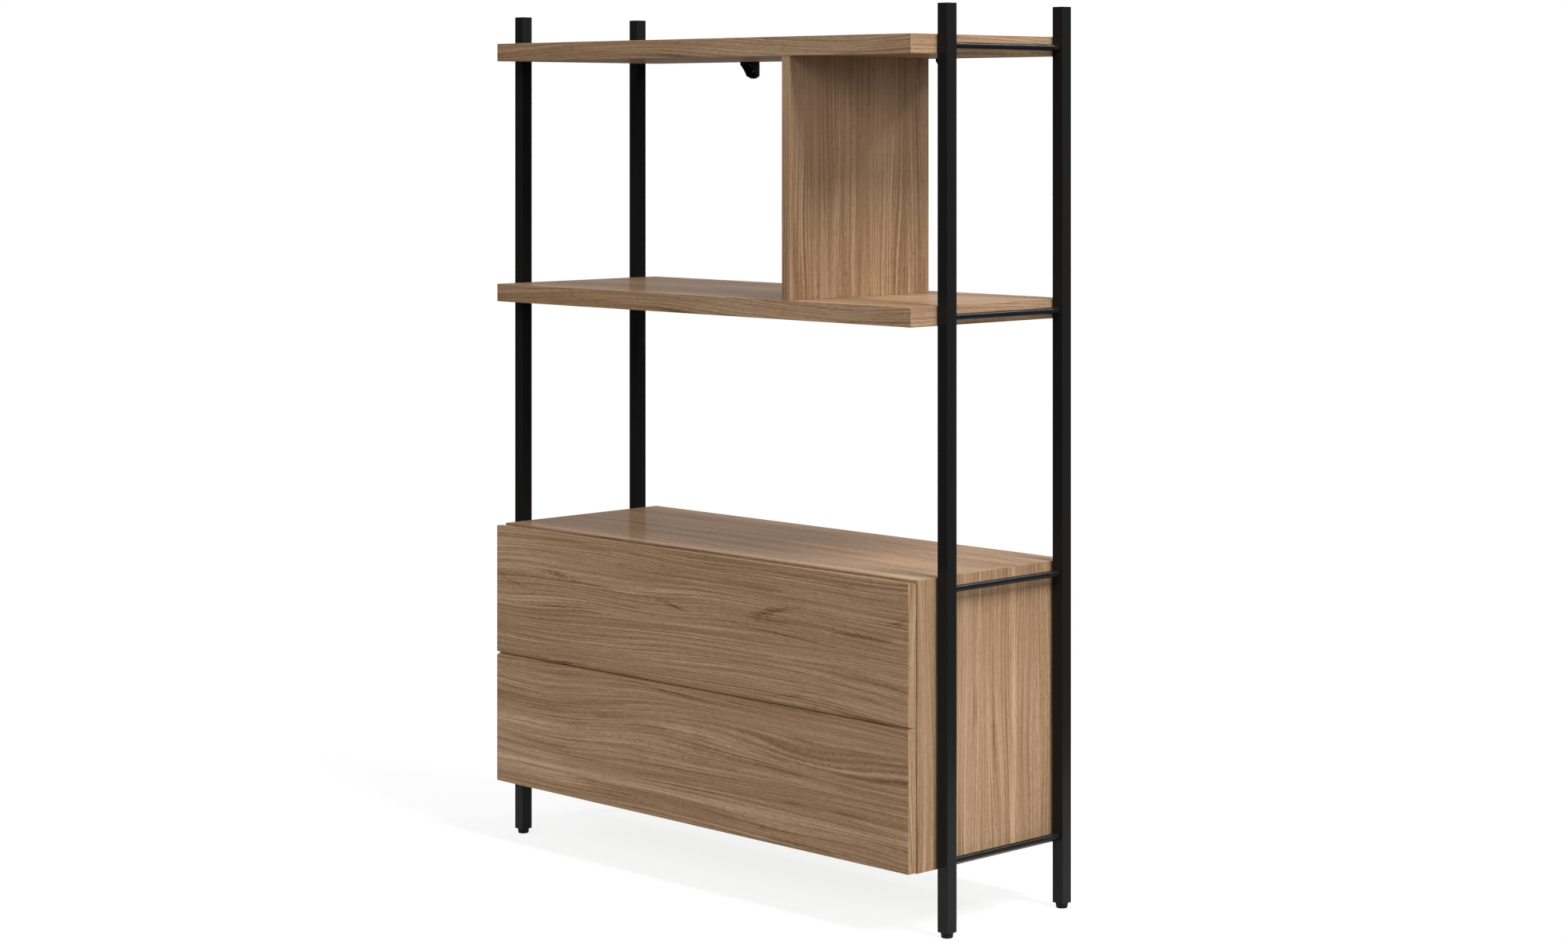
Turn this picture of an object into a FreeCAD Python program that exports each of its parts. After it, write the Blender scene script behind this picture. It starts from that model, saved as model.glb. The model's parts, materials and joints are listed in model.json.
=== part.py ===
import FreeCAD, Part
import os
import re

import Sketcher

# A free-standing shelving unit: two ladder-like side frames of square tube and round crossbars
# carry a top shelf, a middle shelf with a divider above it, and a cabinet with two drawers.
# +X is to the right seen from the front, +Y to the back and +Z up. The origin is on the floor,
# in the middle of the unit's outline. All lengths are in millimetres.

SIZES = {
    # Shelves
    "shelf_width": 1200,
    "shelf_depth": 450,
    "shelf_thick": 37,
    "board_round": 0.8,
    # Levels, the first one at the cabinet's top
    "cabinet_bottom_z": 125.4,
    "cabinet_height": 542,
    "level_pitch": 506.3,
    # Posts
    "post_side": 26,
    "post_wall": 1.5,
    "post_round": 1.5,
    "post_over": 57.8,
    "post_gap": 1,
    "post_front_setback": 70.5,
    "post_back_setback": 27.5,
    "cap_thick": 1.5,
    "cap_plug_length": 12,
    "plug_clear": 0.1,
    # Crossbars
    "crossbar_dia": 13,
    "crossbar_rise": 14.5,
    "crossbar_drop": 21.2,
    # Levelling feet
    "glide_height": 10,
    "glide_clear": 0.3,
    "glide_top_dia": 24.5,
    "glide_bottom_dia": 21.5,
    "glide_round": 1.5,
    "stud_dia": 8,
    "stud_length": 20,
    "stud_clear": 0.05,
    "socket_length": 24,
    # Rivet nuts in the posts, and the bolts that hold the boards to them
    "rivet_dia": 9,
    "rivet_length": 13,
    "rivet_flange_dia": 13,
    "thread_dia": 6,
    "thread_reach": 10,
    "fastener_clear": 0.1,
    "cabinet_bolt_inset": 45,
    "spacer_dia": 16,
    "bolt_head_dia": 12,
    "bolt_head_height": 3,
    "bolt_key_dia": 4,
    "bolt_key_depth": 2,
    "shaft_dia": 7,
    "cam_dia": 15,
    "cam_inset": 24,
    "cam_over": 5,
    "cam_slot_length": 10.5,
    "cam_slot_width": 1.4,
    "cam_slot_depth": 2,
    # Divider
    "right_bay_width": 320.7,
    "divider_thick": 22,
    "divider_front_setback": 2,
    "divider_back_setback": 58,
    "dowel_dia": 8,
    "dowel_length": 36,
    "dowel_end_inset": 60,
    # Wall brackets
    "bracket_end_inset": 315,
    "bracket_width": 33,
    "bracket_depth": 26,
    "bracket_height": 35.7,
    "bracket_plate": 5,
    "bracket_tab": 6,
    "bracket_web": 3,
    "bracket_side_radius": 80,
    "bracket_toe_radius": 25,
    "wall_hole_dia": 5.5,
    "wall_hole_drop": 20,
    # Cabinet
    "cabinet_inset": 3.4,
    "carcass_thick": 20,
    "back_thick": 8,
    "back_rebate": 10,
    "back_clear": 0.2,
    # Drawer fronts
    "front_thick": 21,
    "front_proud": 3,
    "front_gap": 3,
    "front_bottom_margin": 2,
    "front_top_margin": 3,
    "front_joint": 1,
    "meeting_slope_depth": 7.5,
    "meeting_slope_height": 3.6,
    "grip_round": 8,
    # Drawer boxes
    "box_wall": 12,
    "box_lift": 28,
    "box_headroom": 40,
    "box_bottom_thick": 6,
    "groove_depth": 6,
    "groove_height": 10,
    "groove_clear": 0.2,
    "front_screw_dia": 4,
    "front_screw_bite": 15,
    "front_screw_head_dia": 8,
    "front_screw_head_height": 2.5,
    "front_screw_inset": 150,
    # Drawer runners
    "runner_thick": 12.7,
    "runner_height": 45,
    "runner_sheet": 1.2,
    "runner_clear": 0.3,
    "runner_inset": 2,
    "runner_rise": 60,
    "runner_screw_inset": 40,
    # Countersunk wood screws for runners and wall brackets
    "screw_dia": 3.5,
    "screw_head_dia": 7,
    "screw_head_height": 1.2,
    "screw_length": 12,
    # Push latches
    "latch_dia": 14,
    "latch_base_width": 30,
    "latch_base_height": 44,
    "latch_base_thick": 4,
    "latch_length": 60,
    "latch_drop": 40,
    "latch_reach": 5,
    "plunger_dia": 8,
    "plunger_sunk": 30,
    "plunger_tip_clear": 0.3,
    "plunger_run_clear": 0.05,
    "plunger_spring_room": 20,
    # One length by which every cutting tool runs past what it cuts
    "overrun": 2,
}

# Places and sizes that follow from the sizes above
DERIVED = {
    "half_width": "shelf_width / 2",
    "shelf_front": "-(shelf_depth - front_proud) / 2",
    "shelf_back": "shelf_front + shelf_depth",
    "post_bottom": "glide_height + glide_clear",
    "post_top": "top_shelf_z + shelf_thick + post_over",
    "post_height": "post_top - post_bottom",
    "tube_height": "post_height - cap_thick",
    "tube_inside": "post_side - 2 * post_wall",
    "plug_side": "tube_inside - 2 * plug_clear",
    "post_x": "half_width + post_gap + post_side / 2",
    "post_front_y": "shelf_front + post_front_setback + post_side / 2",
    "post_back_y": "shelf_back - post_back_setback - post_side / 2",
    "crossbar_length": "post_back_y - post_front_y - post_side",
    "cabinet_top_z": "cabinet_bottom_z + cabinet_height",
    "middle_shelf_z": "cabinet_top_z + level_pitch - shelf_thick",
    "top_shelf_z": "middle_shelf_z + level_pitch",
    "bay_height": "level_pitch - shelf_thick",
    "shelf_bolt_z": "shelf_thick / 2",
    "cabinet_bolt_low": "cabinet_bottom_z + cabinet_bolt_inset",
    "cabinet_bolt_high": "cabinet_top_z - cabinet_bolt_inset",
    "divider_x": "half_width - right_bay_width - divider_thick / 2",
    "divider_front": "shelf_front + divider_front_setback",
    "divider_depth": "shelf_depth - divider_front_setback - divider_back_setback",
    "divider_z": "middle_shelf_z + shelf_thick",
    "bracket_x": "half_width - bracket_end_inset",
    "bracket_front": "shelf_back - bracket_depth",
    "bracket_bottom": "top_shelf_z - bracket_height",
    "cabinet_half": "half_width - cabinet_inset",
    "cabinet_width": "2 * cabinet_half",
    "carcass_front": "shelf_front - front_proud + front_thick + front_gap",
    "carcass_depth": "shelf_back - carcass_front",
    "carcass_inside_half": "cabinet_half - carcass_thick",
    "back_inner_y": "shelf_back - back_thick",
    "back_width": "2 * (carcass_inside_half + back_rebate - back_clear)",
    "back_height": "cabinet_height - 2 * (carcass_thick - back_rebate + back_clear)",
    "front_height": "(cabinet_height - front_bottom_margin - front_top_margin - front_joint) / 2",
    "front_face": "shelf_front - front_proud",
    "box_front": "front_face + front_thick",
    "box_half": "carcass_inside_half - runner_thick",
    "box_width": "2 * box_half",
    "box_back": "latch_mouth - latch_reach",
    "box_depth": "box_back - box_front",
    "box_height": "front_height - box_lift - box_headroom",
    "box_inside_width": "box_width - 2 * box_wall",
    "box_inside_depth": "box_depth - 2 * box_wall",
    "panel_width": "box_inside_width + 2 * (groove_depth - groove_clear)",
    "panel_depth": "box_inside_depth + 2 * (groove_depth - groove_clear)",
    "groove_width": "box_bottom_thick + 2 * groove_clear",
    "runner_front": "carcass_front + runner_inset",
    "runner_length": "box_back - runner_front",
    "latch_mouth": "back_inner_y - latch_base_thick - latch_length",
    "bracket_screw_y": "bracket_front + (bracket_depth - bracket_plate) / 2",
    "wall_hole_z": "top_shelf_z - wall_hole_drop",
}

DRAWERS = {
    "lower": "cabinet_bottom_z + front_bottom_margin",
    "upper": "cabinet_bottom_z + front_bottom_margin + front_height + front_joint",
}
SIDES = {"left": -1, "right": 1}
POST_ROWS = {"front": "post_front_y", "back": "post_back_y"}

# The lowest crossbar lies by the cabinet's bottom, the others just under the top of each level
CROSSBAR_HEIGHTS = [
    "cabinet_bottom_z + crossbar_rise",
    "cabinet_top_z - crossbar_drop",
    "cabinet_top_z + level_pitch - crossbar_drop",
    "cabinet_top_z + 2 * level_pitch - crossbar_drop",
]

# Heights of the screws behind a drawer's front, as shares of the drawer box's height
FRONT_SCREW_SHARES = (0.25, 0.75)

# Two lengths that differ by less than this are taken as the same
TOLERANCE = 1e-6

document = FreeCAD.newDocument("shelving_unit")
sheet = document.addObject("Spreadsheet::Sheet", "Sizes")
for row, (name, amount) in enumerate(SIZES.items(), start=1):
    sheet.set(f"A{row}", name)
    sheet.set(f"B{row}", str(amount))
    sheet.setAlias(f"B{row}", name)
document.recompute()
NODES = []


# Expressions and placing

def expand(text):
    """Write out the derived names in a text until only cells of the sheet are left."""
    def replace(match):
        word = match.group(0)
        if word in DERIVED:
            return f"({expand(DERIVED[word])})"
        return f"Sizes.{word}" if word in SIZES else word
    return re.sub(r"[a-z_]+", replace, text)


def bind(item, **properties):
    for key, text in properties.items():
        item.setExpression(key, expand(text))
    return item


def place(item, x="0", y="0", z="0"):
    for axis, text in zip("xyz", (x, y, z)):
        item.setExpression(f"Placement.Base.{axis}", expand(text))
    return item


def node(label, item):
    item.Label = label
    NODES.append(item)
    return item


# Primitives and booleans

TURNS = {
    "+z": FreeCAD.Rotation(),
    "-z": FreeCAD.Rotation(FreeCAD.Vector(1, 0, 0), 180),
    "+x": FreeCAD.Rotation(FreeCAD.Vector(0, 1, 0), 90),
    "-x": FreeCAD.Rotation(FreeCAD.Vector(0, 1, 0), -90),
    "+y": FreeCAD.Rotation(FreeCAD.Vector(1, 0, 0), -90),
    "-y": FreeCAD.Rotation(FreeCAD.Vector(1, 0, 0), 90),
}


def turned(item, towards):
    item.Placement = FreeCAD.Placement(FreeCAD.Vector(), TURNS[towards])
    return item


def cylinder(diameter, length, start, towards="+z"):
    item = turned(document.addObject("Part::Cylinder", "Round"), towards)
    bind(item, Radius=f"({diameter}) / 2", Height=length)
    return place(item, *start)


def cone(first, last, length, start, towards="+z"):
    item = turned(document.addObject("Part::Cone", "Taper"), towards)
    bind(item, Radius1=f"({first}) / 2", Radius2=f"({last}) / 2", Height=length)
    return place(item, *start)


def box(size, corner):
    item = document.addObject("Part::Box", "Block")
    bind(item, Length=size[0], Width=size[1], Height=size[2])
    return place(item, *corner)


def fuse(items):
    item = document.addObject("Part::MultiFuse", "Fusion")
    item.Shapes = items
    return item


def cut(base, tools):
    item = document.addObject("Part::Cut", "Cut")
    item.Base = base
    item.Tool = tools[0] if len(tools) == 1 else fuse(tools)
    return item


def group(items):
    item = document.addObject("Part::Compound", "Group")
    item.Links = items
    return item


def wood_screw(start, towards, clear="0"):
    """A countersunk screw from its head's face, or with a clearance the room for it."""
    head = cone(f"screw_head_dia + 2 * {clear}", f"screw_dia + 2 * {clear}", "screw_head_height",
                start, towards)
    shank = cylinder(f"screw_dia + 2 * {clear}", f"screw_length + {clear}", start, towards)
    return fuse([head, shank])


# Bodies with sketches

def sketch_on(body, role):
    planes = {feature.Role: feature for feature in body.Origin.OriginFeatures}
    sketch = body.newObject("Sketcher::SketchObject", "Outline")
    sketch.AttachmentSupport = [(planes[role], "")]
    sketch.MapMode = "FlatFace"
    return sketch


def pin(sketch, geometry, point, across, up):
    """Hold a sketch point, from where it is drawn, at two expressions."""
    drawn = sketch.getPoint(geometry, point)
    for kind, start, text in (("DistanceX", drawn.x, across), ("DistanceY", drawn.y, up)):
        number = sketch.addConstraint(Sketcher.Constraint(kind, -1, 1, geometry, point, start))
        sketch.setExpression(f"Constraints[{number}]", expand(text))


def polygon(sketch, points):
    """A closed outline whose corners sit at expressions; it starts as a regular polygon."""
    turn = FreeCAD.Rotation(FreeCAD.Vector(0, 0, 1), 360 / len(points))
    corners = [FreeCAD.Vector(1, 0, 0)]
    for _ in points[1:]:
        corners.append(turn.multVec(corners[-1]))
    first = sketch.GeometryCount
    count = len(points)
    for index in range(count):
        sketch.addGeometry(Part.LineSegment(corners[index], corners[(index + 1) % count]), False)
    for index, (across, up) in enumerate(points):
        follower = first + (index + 1) % count
        sketch.addConstraint(Sketcher.Constraint("Coincident", first + index, 2, follower, 1))
        pin(sketch, first + index, 1, across, up)


def rectangle(low, high):
    return [low, (high[0], low[1]), high, (low[0], high[1])]


def prism(role, outlines, length, reverse=False):
    """A body padded from one or more closed outlines on one of its own planes."""
    body = document.addObject("PartDesign::Body", "Body")
    sketch = sketch_on(body, role)
    for outline in outlines:
        polygon(sketch, outline)
    pad = body.newObject("PartDesign::Pad", "Pad")
    pad.Profile = sketch
    pad.Reversed = reverse
    bind(pad, Length=length)
    document.recompute()
    return body


def board(width, depth, thick, corner):
    """A board lying in XY from its own corner, with every edge eased."""
    body = prism("XY_Plane", [rectangle(("0", "0"), (width, depth))], thick)
    pad = body.Tip
    easing = body.newObject("PartDesign::Fillet", "Easing")
    easing.Base = (pad, [])
    easing.UseAllEdges = True
    bind(easing, Radius="board_round")
    return place(body, *corner)


def round_edges(body, picks, radius):
    """Round the edges of a body's tip whose middle passes a test."""
    tip = body.Tip
    shape = tip.Shape
    names = []
    for number, edge in enumerate(shape.Edges, start=1):
        middle = edge.BoundBox.Center
        if picks(edge, middle, shape.BoundBox):
            names.append(f"Edge{number}")
    rounding = body.newObject("PartDesign::Fillet", "Rounding")
    rounding.Base = (tip, names)
    bind(rounding, Radius=radius)
    document.recompute()
    return body


def same(one, other):
    return abs(one - other) < TOLERANCE


# Side frames

def rivet_places():
    """Yield the side, y and z of every nut: two per board end, then two per cabinet side."""
    heights = ["top_shelf_z + shelf_bolt_z", "middle_shelf_z + shelf_bolt_z",
               "cabinet_bolt_high", "cabinet_bolt_low"]
    for sign in SIDES.values():
        for y in POST_ROWS.values():
            for z in heights:
                yield sign, y, z


def make_post(side, row):
    sign = SIDES[side]
    outside = rectangle(("-post_side / 2", "-post_side / 2"), ("post_side / 2", "post_side / 2"))
    inside = rectangle(("-tube_inside / 2", "-tube_inside / 2"), ("tube_inside / 2", "tube_inside / 2"))
    body = prism("XY_Plane", [outside, inside], "tube_height")

    def outer_corner(edge, middle, bounds):
        tall = same(edge.BoundBox.ZLength, bounds.ZLength)
        return tall and same(abs(middle.x), bounds.XMax) and same(abs(middle.y), bounds.YMax)

    round_edges(body, outer_corner, "post_round")
    place(body, f"{sign} * post_x", POST_ROWS[row], "post_bottom")
    holes = []
    for other_sign, y, z in rivet_places():
        if other_sign == sign and y == POST_ROWS[row]:
            face = f"{sign} * (half_width + post_gap - overrun)"
            towards = "+x" if sign > 0 else "-x"
            reach = "post_wall + 2 * overrun"
            holes.append(cylinder("rivet_dia + 2 * fastener_clear", reach, (face, y, z), towards))
    node(f"post_{row}_{side}", cut(body, holes))


def make_crossbars(side):
    for number, z in enumerate(CROSSBAR_HEIGHTS, start=1):
        start = (f"{SIDES[side]} * post_x", "post_front_y + post_side / 2", z)
        node(f"crossbar_{side}_{number}", cylinder("crossbar_dia", "crossbar_length", start, "+y"))


def post_places():
    return [(f"{sign} * post_x", y) for sign in SIDES.values() for y in POST_ROWS.values()]


def make_caps():
    caps = []
    for x, y in post_places():
        outside = rectangle(("-post_side / 2", "-post_side / 2"), ("post_side / 2", "post_side / 2"))
        flange = prism("XY_Plane", [outside], "cap_thick")

        def corner_edge(edge, middle, bounds):
            return same(edge.BoundBox.ZLength, bounds.ZLength)

        round_edges(flange, corner_edge, "post_round")
        place(flange, x, y, "post_top - cap_thick")
        plug = box(("plug_side", "plug_side", "cap_plug_length"),
                   (f"{x} - plug_side / 2", f"{y} - plug_side / 2", "post_top - cap_thick - cap_plug_length"))
        caps.append(fuse([flange, plug]))
    node("post_caps", group(caps))


def make_sockets():
    sockets = []
    for x, y in post_places():
        block = box(("plug_side", "plug_side", "socket_length"),
                    (f"{x} - plug_side / 2", f"{y} - plug_side / 2", "post_bottom"))
        bore = cylinder("stud_dia", "socket_length + 2 * overrun", (x, y, "post_bottom - overrun"))
        sockets.append(cut(block, [bore]))
    node("foot_sockets", group(sockets))


def make_foot(number, x, y):
    """A tapered glide with a rounded rim, turned with its stud, which climbs into the socket."""
    body = document.addObject("PartDesign::Body", "Body")
    sketch = sketch_on(body, "XZ_Plane")
    stud = "stud_dia / 2 - stud_clear"
    polygon(sketch, [("0", "0"), ("glide_bottom_dia / 2", "0"), ("glide_top_dia / 2", "glide_height"),
                     (stud, "glide_height"), (stud, "glide_height + stud_length"),
                     ("0", "glide_height + stud_length")])
    turning = body.newObject("PartDesign::Revolution", "Turning")
    turning.Profile = sketch
    turning.ReferenceAxis = (sketch, ["V_Axis"])
    turning.Angle = 360
    document.recompute()

    def rim(edge, middle, bounds):
        return same(middle.z, bounds.ZMin) and len(edge.Vertexes) == 1

    round_edges(body, rim, "glide_round")
    node(f"levelling_foot_{number}", place(body, x, y, "0"))


# Shelves, divider and their fastenings

def shelf_bolt_places():
    """Yield side, y and z of the bolts that leave the shelf ends."""
    for sign in SIDES.values():
        for y in POST_ROWS.values():
            for level in ("top_shelf_z", "middle_shelf_z"):
                yield sign, y, level


def divider_places():
    front = "divider_front + dowel_end_inset"
    back = "divider_front + divider_depth - dowel_end_inset"
    return front, back


def make_shelf(label, level):
    body = board("shelf_width", "shelf_depth", "shelf_thick", ("-half_width", "shelf_front", level))
    holes = []
    for sign, y, z in shelf_bolt_places():
        if z != level:
            continue
        inwards = "-x" if sign > 0 else "+x"
        start = (f"{sign} * (half_width + overrun)", y, f"{z} + shelf_bolt_z")
        holes.append(cylinder("shaft_dia + 2 * fastener_clear", "cam_inset + overrun", start, inwards))
        cam_start = (f"{sign} * (half_width - cam_inset)", y, f"{z} - overrun")
        depth = "overrun + shelf_bolt_z + cam_over"
        holes.append(cylinder("cam_dia + 2 * fastener_clear", depth, cam_start))
    for y in divider_places():
        if level == "top_shelf_z":
            mouth, towards = f"{level} - overrun", "+z"
        else:
            mouth, towards = "divider_z + overrun", "-z"
        holes.append(dowel_hole(y, mouth, towards))
    if level == "top_shelf_z":
        holes += [bracket_screw(sign, "fastener_clear") for sign in SIDES.values()]
    node(label, cut(body, holes))


def dowel_hole(y, mouth, towards):
    reach = "overrun + dowel_length / 2 + fastener_clear"
    return cylinder("dowel_dia + 2 * fastener_clear", reach, ("divider_x", y, mouth), towards)


def make_divider():
    body = board("divider_thick", "divider_depth", "bay_height",
                 ("divider_x - divider_thick / 2", "divider_front", "divider_z"))
    holes = []
    for y in divider_places():
        holes.append(dowel_hole(y, "top_shelf_z + overrun", "-z"))
        holes.append(dowel_hole(y, "divider_z - overrun", "+z"))
    node("divider", cut(body, holes))


def make_dowels():
    dowels = []
    for y in divider_places():
        for end in ("top_shelf_z", "divider_z"):
            start = ("divider_x", y, f"{end} - dowel_length / 2")
            dowels.append(cylinder("dowel_dia", "dowel_length", start))
    node("divider_dowels", group(dowels))


def make_rivet_nuts():
    """Blind rivet nuts: the flange on the post's inner face sets the gap beside the boards."""
    nuts = []
    for sign, y, z in rivet_places():
        outwards = "+x" if sign > 0 else "-x"
        face = f"{sign} * half_width"
        flange = cylinder("rivet_flange_dia", "post_gap", (face, y, z), outwards)
        barrel = cylinder("rivet_dia", "post_gap + rivet_length", (face, y, z), outwards)
        start = f"{sign} * (half_width - overrun)"
        reach = "post_gap + rivet_length + 2 * overrun"
        bore = cylinder("thread_dia", reach, (start, y, z), outwards)
        nuts.append(cut(fuse([flange, barrel]), [bore]))
    node("rivet_nuts", group(nuts))


def make_shelf_bolts():
    """Connecting bolts: a thread in the nut and a shaft that reaches into the cam."""
    bolts = []
    cams = []
    for sign, y, level in shelf_bolt_places():
        outwards = "+x" if sign > 0 else "-x"
        z = f"{level} + shelf_bolt_z"
        start = f"{sign} * (half_width - cam_inset)"
        shaft = cylinder("shaft_dia", "cam_inset", (start, y, z), outwards)
        thread = cylinder("thread_dia - 2 * fastener_clear", "cam_inset + thread_reach",
                          (start, y, z), outwards)
        bolts.append(fuse([shaft, thread]))
        disc = cylinder("cam_dia", "shelf_bolt_z + cam_over", (start, y, level))
        room = f"{sign} * (half_width - cam_inset - fastener_clear)"
        seat = cylinder("shaft_dia + 2 * fastener_clear", "cam_inset", (room, y, z), outwards)
        slots = []
        for across, along in (("cam_slot_length", "cam_slot_width"), ("cam_slot_width", "cam_slot_length")):
            corner = (f"{start} - {across} / 2", f"{y} - {along} / 2", f"{level} - overrun")
            slots.append(box((across, along, "overrun + cam_slot_depth"), corner))
        cams.append(cut(disc, [seat] + slots))
    node("shelf_bolts", group(bolts))
    node("shelf_cams", group(cams))


# Wall brackets

def make_bracket(side):
    """A moulded bracket: a tab under the shelf, a plate on the wall and two curved side webs."""
    sign = SIDES[side]
    left = f"{sign} * bracket_x - bracket_width / 2"
    body = document.addObject("PartDesign::Body", "Body")
    sketch = sketch_on(body, "YZ_Plane")
    depth = SIZES["bracket_depth"]
    height = SIZES["bracket_height"]
    tab_z = height - SIZES["bracket_tab"]
    plate_y = depth - SIZES["bracket_plate"]
    toe = FreeCAD.Vector(plate_y, 0, 0)
    lip = FreeCAD.Vector(0, tab_z, 0)
    middle = (toe + lip) / 2
    chord = lip - toe
    radius = SIZES["bracket_side_radius"]
    away = FreeCAD.Vector(-chord.y, chord.x, 0).normalize()
    centre = middle + away * (radius ** 2 - (chord.Length / 2) ** 2) ** 0.5
    nearest = centre + (middle - centre).normalize() * radius
    outline = [FreeCAD.Vector(0, tab_z, 0), FreeCAD.Vector(0, height, 0),
               FreeCAD.Vector(depth, height, 0), FreeCAD.Vector(depth, 0, 0), toe]
    for first, second in zip(outline, outline[1:]):
        sketch.addGeometry(Part.LineSegment(first, second), False)
    curve = sketch.addGeometry(Part.Arc(toe, nearest, lip), False)
    for index in range(3):
        sketch.addConstraint(Sketcher.Constraint("Coincident", index, 2, index + 1, 1))
    arc = sketch.Geometry[curve]
    starts_at_toe = (arc.StartPoint - toe).Length < (arc.EndPoint - toe).Length
    toe_end, lip_end = (1, 2) if starts_at_toe else (2, 1)
    sketch.addConstraint(Sketcher.Constraint("Coincident", 3, 2, curve, toe_end))
    sketch.addConstraint(Sketcher.Constraint("Coincident", 0, 1, curve, lip_end))
    corners = [("0", "bracket_height - bracket_tab"), ("0", "bracket_height"),
               ("bracket_depth", "bracket_height"), ("bracket_depth", "0")]
    for index, (across, up) in enumerate(corners):
        pin(sketch, index, 1, across, up)
    pin(sketch, 3, 2, "bracket_depth - bracket_plate", "0")
    bend = sketch.addConstraint(Sketcher.Constraint("Radius", curve, radius))
    sketch.setExpression(f"Constraints[{bend}]", expand("bracket_side_radius"))
    pad = body.newObject("PartDesign::Pad", "Pad")
    pad.Profile = sketch
    bind(pad, Length="bracket_width")
    document.recompute()
    place(body, left, "bracket_front", "bracket_bottom")

    toe_round = cylinder("2 * bracket_toe_radius", "bracket_depth + 2 * overrun",
                         (f"{sign} * bracket_x", "bracket_front - overrun",
                          "bracket_bottom + bracket_toe_radius"), "+y")
    upper = box(("bracket_width", "bracket_depth + 2 * overrun", "bracket_height"),
                (left, "bracket_front - overrun", "bracket_bottom + bracket_height / 2"))
    outline_round = fuse([toe_round, upper])
    shaped = document.addObject("Part::Common", "Common")
    shaped.Base = body
    shaped.Tool = outline_round
    hollow = box(("bracket_width - 2 * bracket_web", "bracket_depth - bracket_plate + overrun",
                  "bracket_height - bracket_tab + overrun"),
                 (f"{left} + bracket_web", "bracket_front - overrun", "bracket_bottom - overrun"))
    wall_hole = cylinder("wall_hole_dia", "bracket_depth + 2 * overrun",
                         (f"{sign} * bracket_x", "bracket_front - overrun", "wall_hole_z"), "+y")
    node(f"wall_bracket_{side}", cut(shaped, [hollow, wall_hole, bracket_screw(sign, "fastener_clear")]))


def bracket_screw(sign, clear):
    start = (f"{sign} * bracket_x", "bracket_screw_y", "top_shelf_z - bracket_tab")
    return wood_screw(start, "+z", clear)


# Cabinet

def rebate_cut(low, high):
    """The block cut from the back of a carcass board, where the back panel lies."""
    size = tuple(f"({b}) - ({a})" for a, b in zip(low, high))
    return box(size, low)


def make_cabinet_boards():
    """Four boards mitred at the corners, rebated behind for the back panel."""
    across = "cabinet_width"
    flat = [("0", "0"), (across, "0"), (f"{across} - carcass_thick", "carcass_thick"),
            ("carcass_thick", "carcass_thick")]
    top = [("0", "carcass_thick"), (across, "carcass_thick"), (f"{across} - carcass_thick", "0"),
           ("carcass_thick", "0")]
    lines = "carcass_inside_half + back_rebate"
    behind = ("back_inner_y", "shelf_back + overrun")
    low_inner = "cabinet_bottom_z + carcass_thick"
    high_inner = "cabinet_top_z - carcass_thick"
    tool = rebate_cut((f"-({lines})", behind[0], f"{low_inner} - back_rebate"),
                      (lines, behind[1], f"{high_inner} + back_rebate"))
    for label, outline, z in (("cabinet_bottom", flat, "cabinet_bottom_z"),
                              ("cabinet_top", top, "cabinet_top_z - carcass_thick")):
        body = prism("XZ_Plane", [outline], "carcass_depth", reverse=True)
        place(body, "-cabinet_half", "carcass_front", z)
        node(label, cut(body, [tool]))
    tall = "cabinet_height"
    for side, sign in SIDES.items():
        inner = f"{-sign} * carcass_thick"
        upright = [("0", "0"), (inner, "carcass_thick"), (inner, f"{tall} - carcass_thick"), ("0", tall)]
        body = prism("XZ_Plane", [upright], "carcass_depth", reverse=True)
        place(body, f"{sign} * cabinet_half", "carcass_front", "cabinet_bottom_z")
        holes = [tool]
        for y in POST_ROWS.values():
            for z in ("cabinet_bolt_high", "cabinet_bolt_low"):
                start = (f"{sign} * (carcass_inside_half - overrun)", y, z)
                towards = "+x" if sign > 0 else "-x"
                holes.append(cylinder("thread_dia + 2 * fastener_clear", "carcass_thick + 2 * overrun",
                                      start, towards))
        for drawer in DRAWERS:
            holes += cabinet_screws(side, drawer, "fastener_clear")
        node(f"cabinet_{side}_side", cut(body, holes))
    panel = box(("back_width", "back_thick", "back_height"),
                ("-back_width / 2", "back_inner_y", f"{low_inner} - back_rebate + back_clear"))
    node("cabinet_back", panel)


def make_cabinet_bolts():
    """Button-head bolts from inside the cabinet, through its sides and spacers, into the posts."""
    bolts = []
    spacers = []
    for sign, y, z in rivet_places():
        if "cabinet" not in z:
            continue
        outwards = "+x" if sign > 0 else "-x"
        inwards = "-x" if sign > 0 else "+x"
        face = f"{sign} * carcass_inside_half"
        reach = "carcass_thick + cabinet_inset + post_gap + thread_reach"
        shank = cylinder("thread_dia - 2 * fastener_clear", reach, (face, y, z), outwards)
        head = cylinder("bolt_head_dia", "bolt_head_height", (face, y, z), inwards)
        top = f"{sign} * (carcass_inside_half - bolt_head_height - overrun)"
        key = cylinder("bolt_key_dia", "bolt_key_depth + overrun", (top, y, z), outwards)
        bolts.append(cut(fuse([shank, head]), [key]))
        disc = cylinder("spacer_dia", "cabinet_inset", (f"{sign} * cabinet_half", y, z), outwards)
        hole = cylinder("thread_dia + 2 * fastener_clear", "cabinet_inset + 2 * overrun",
                        (f"{sign} * (cabinet_half - overrun)", y, z), outwards)
        spacers.append(cut(disc, [hole]))
    node("cabinet_bolts", group(bolts))
    node("cabinet_spacers", group(spacers))


# Drawers

def box_bottom_z(drawer):
    return f"{DRAWERS[drawer]} + box_lift"


def runner_z(drawer):
    return f"{box_bottom_z(drawer)} + runner_rise"


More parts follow.
